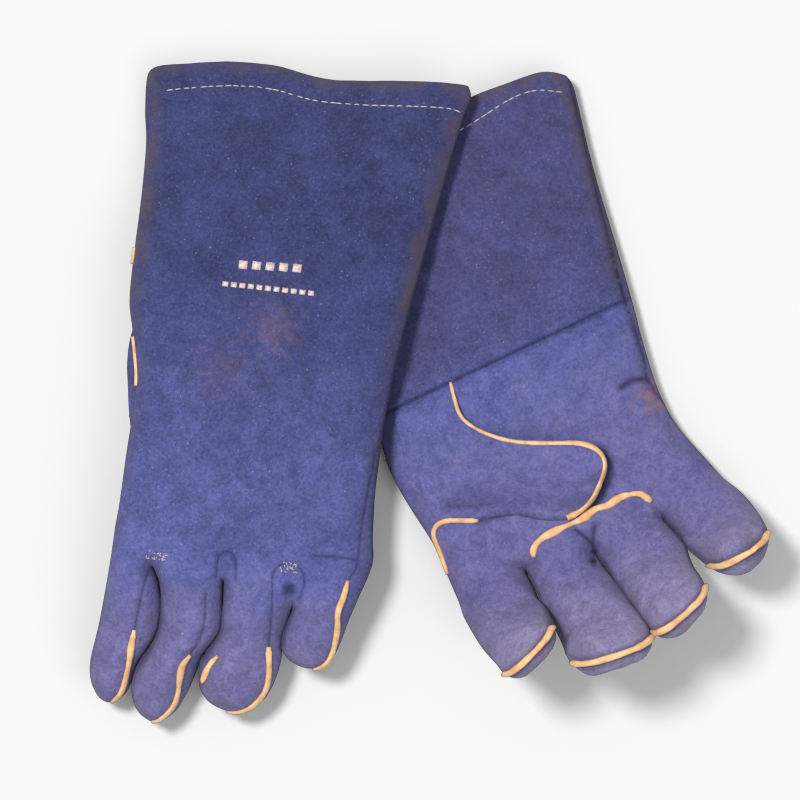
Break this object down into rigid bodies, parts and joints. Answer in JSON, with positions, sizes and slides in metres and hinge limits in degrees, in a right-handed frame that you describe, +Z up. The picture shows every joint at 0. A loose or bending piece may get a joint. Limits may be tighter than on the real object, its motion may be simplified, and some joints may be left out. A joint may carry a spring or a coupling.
{
  "type": "pair of gauntlet welding gloves",
  "caption": "Pair of long-cuffed split-leather welding gloves with piped seams, one lying palm up and the other palm down across its cuff.",
  "frame": {"origin": "on the resting plane, under the middle of the right glove's wrist seam", "axes": "+Z up from the resting plane, +Y the way both cuffs roughly point, +X from the left glove to the right glove"},
  "size_m": [0.3684, 0.3614, 0.0924],
  "materials": {
    "blue_suede": "napped suede",
    "welt_leather": "smooth",
    "thread": "twisted thread",
    "lining": "fleece"
  },
  "bodies": {
    "right_hand": {"right_back_panel": "blue_suede", "right_cuff_front": "blue_suede", "right_palm_panel": "blue_suede", "right_thumb_gusset": "blue_suede", "right_cuff_hem": "blue_suede", "right_hem_stitching": "thread", "right_side_welt": "welt_leather", "right_thumb_seam_welt": "welt_leather", "right_finger_base_welts": "welt_leather", "right_lining": "lining"},
    "right_index": {"right_index_back": "blue_suede", "right_index_front": "blue_suede", "right_index_welt": "welt_leather", "right_index_lining": "lining"},
    "right_middle": {"right_middle_back": "blue_suede", "right_middle_front": "blue_suede", "right_middle_welt": "welt_leather", "right_middle_lining": "lining"},
    "right_ring": {"right_ring_back": "blue_suede", "right_ring_front": "blue_suede", "right_ring_welt": "welt_leather", "right_ring_lining": "lining"},
    "right_little": {"right_little_back": "blue_suede", "right_little_front": "blue_suede", "right_little_welt": "welt_leather", "right_little_lining": "lining"},
    "right_thumb": {"right_thumb_back": "blue_suede", "right_thumb_front": "blue_suede", "right_thumb_welt": "welt_leather", "right_thumb_lining": "lining"},
    "left_hand": {"left_back_panel": "blue_suede", "left_cuff_front": "blue_suede", "left_palm_panel": "blue_suede", "left_thumb_gusset": "blue_suede", "left_cuff_hem": "blue_suede", "left_hem_stitching": "thread", "left_side_welt": "welt_leather", "left_thumb_seam_welt": "welt_leather", "left_finger_base_welts": "welt_leather", "left_lining": "lining"},
    "left_index": {"left_index_back": "blue_suede", "left_index_front": "blue_suede", "left_index_welt": "welt_leather", "left_index_lining": "lining"},
    "left_middle": {"left_middle_back": "blue_suede", "left_middle_front": "blue_suede", "left_middle_welt": "welt_leather", "left_middle_lining": "lining"},
    "left_ring": {"left_ring_back": "blue_suede", "left_ring_front": "blue_suede", "left_ring_welt": "welt_leather", "left_ring_lining": "lining"},
    "left_little": {"left_little_back": "blue_suede", "left_little_front": "blue_suede", "left_little_welt": "welt_leather", "left_little_lining": "lining"},
    "left_thumb": {"left_thumb_back": "blue_suede", "left_thumb_front": "blue_suede", "left_thumb_welt": "welt_leather", "left_thumb_lining": "lining"}
  },
  "joints": [
    {"name": "right_index_curl", "type": "hinge", "parent": "right_hand", "child": "right_index", "pos_m": [0.00135, -0.13242, 0.022], "axis": [-0.9018, -0.4321, 0], "range_deg": [-12, 60]},
    {"name": "right_middle_curl", "type": "hinge", "parent": "right_hand", "child": "right_middle", "pos_m": [0.03472, -0.11643, 0.022], "axis": [-0.9018, -0.4321, 0], "range_deg": [-12, 60]},
    {"name": "right_ring_curl", "type": "hinge", "parent": "right_hand", "child": "right_ring", "pos_m": [0.06922, -0.10165, 0.022], "axis": [-0.8563, -0.5165, 0], "range_deg": [-12, 60]},
    {"name": "right_little_curl", "type": "hinge", "parent": "right_hand", "child": "right_little", "pos_m": [0.10355, -0.08653, 0.022], "axis": [-0.8131, -0.5821, 0], "range_deg": [-12, 60]},
    {"name": "right_thumb_fold", "type": "hinge", "parent": "right_hand", "child": "right_thumb", "pos_m": [-0.01266, -0.06151, 0.0413], "axis": [0.0506, -0.9987, 0], "range_deg": [0, 90]},
    {"name": "left_index_curl", "type": "hinge", "parent": "left_hand", "child": "left_index", "pos_m": [-0.19912, -0.09307, 0.024], "axis": [0.9799, -0.1994, 0], "range_deg": [-3, 70]},
    {"name": "left_middle_curl", "type": "hinge", "parent": "left_hand", "child": "left_middle", "pos_m": [-0.16591, -0.09747, 0.024], "axis": [0.9799, -0.1994, 0], "range_deg": [-3, 70]},
    {"name": "left_ring_curl", "type": "hinge", "parent": "left_hand", "child": "left_ring", "pos_m": [-0.13113, -0.10143, 0.024], "axis": [0.9877, -0.1564, 0], "range_deg": [-3, 70]},
    {"name": "left_little_curl", "type": "hinge", "parent": "left_hand", "child": "left_little", "pos_m": [-0.09194, -0.10644, 0.024], "axis": [0.989, -0.1478, 0], "range_deg": [-3, 70]},
    {"name": "left_thumb_fold", "type": "hinge", "parent": "left_hand", "child": "left_thumb", "pos_m": [-0.172, -0.02501, 0.0047], "axis": [0.503, 0.8643, 0], "range_deg": [0, 90]},
    {"name": "left_glove_lift", "type": "slide", "parent": "right_hand", "child": "left_hand", "axis": [0, 0, 1], "range_m": [0, 0.25]}
  ]
}
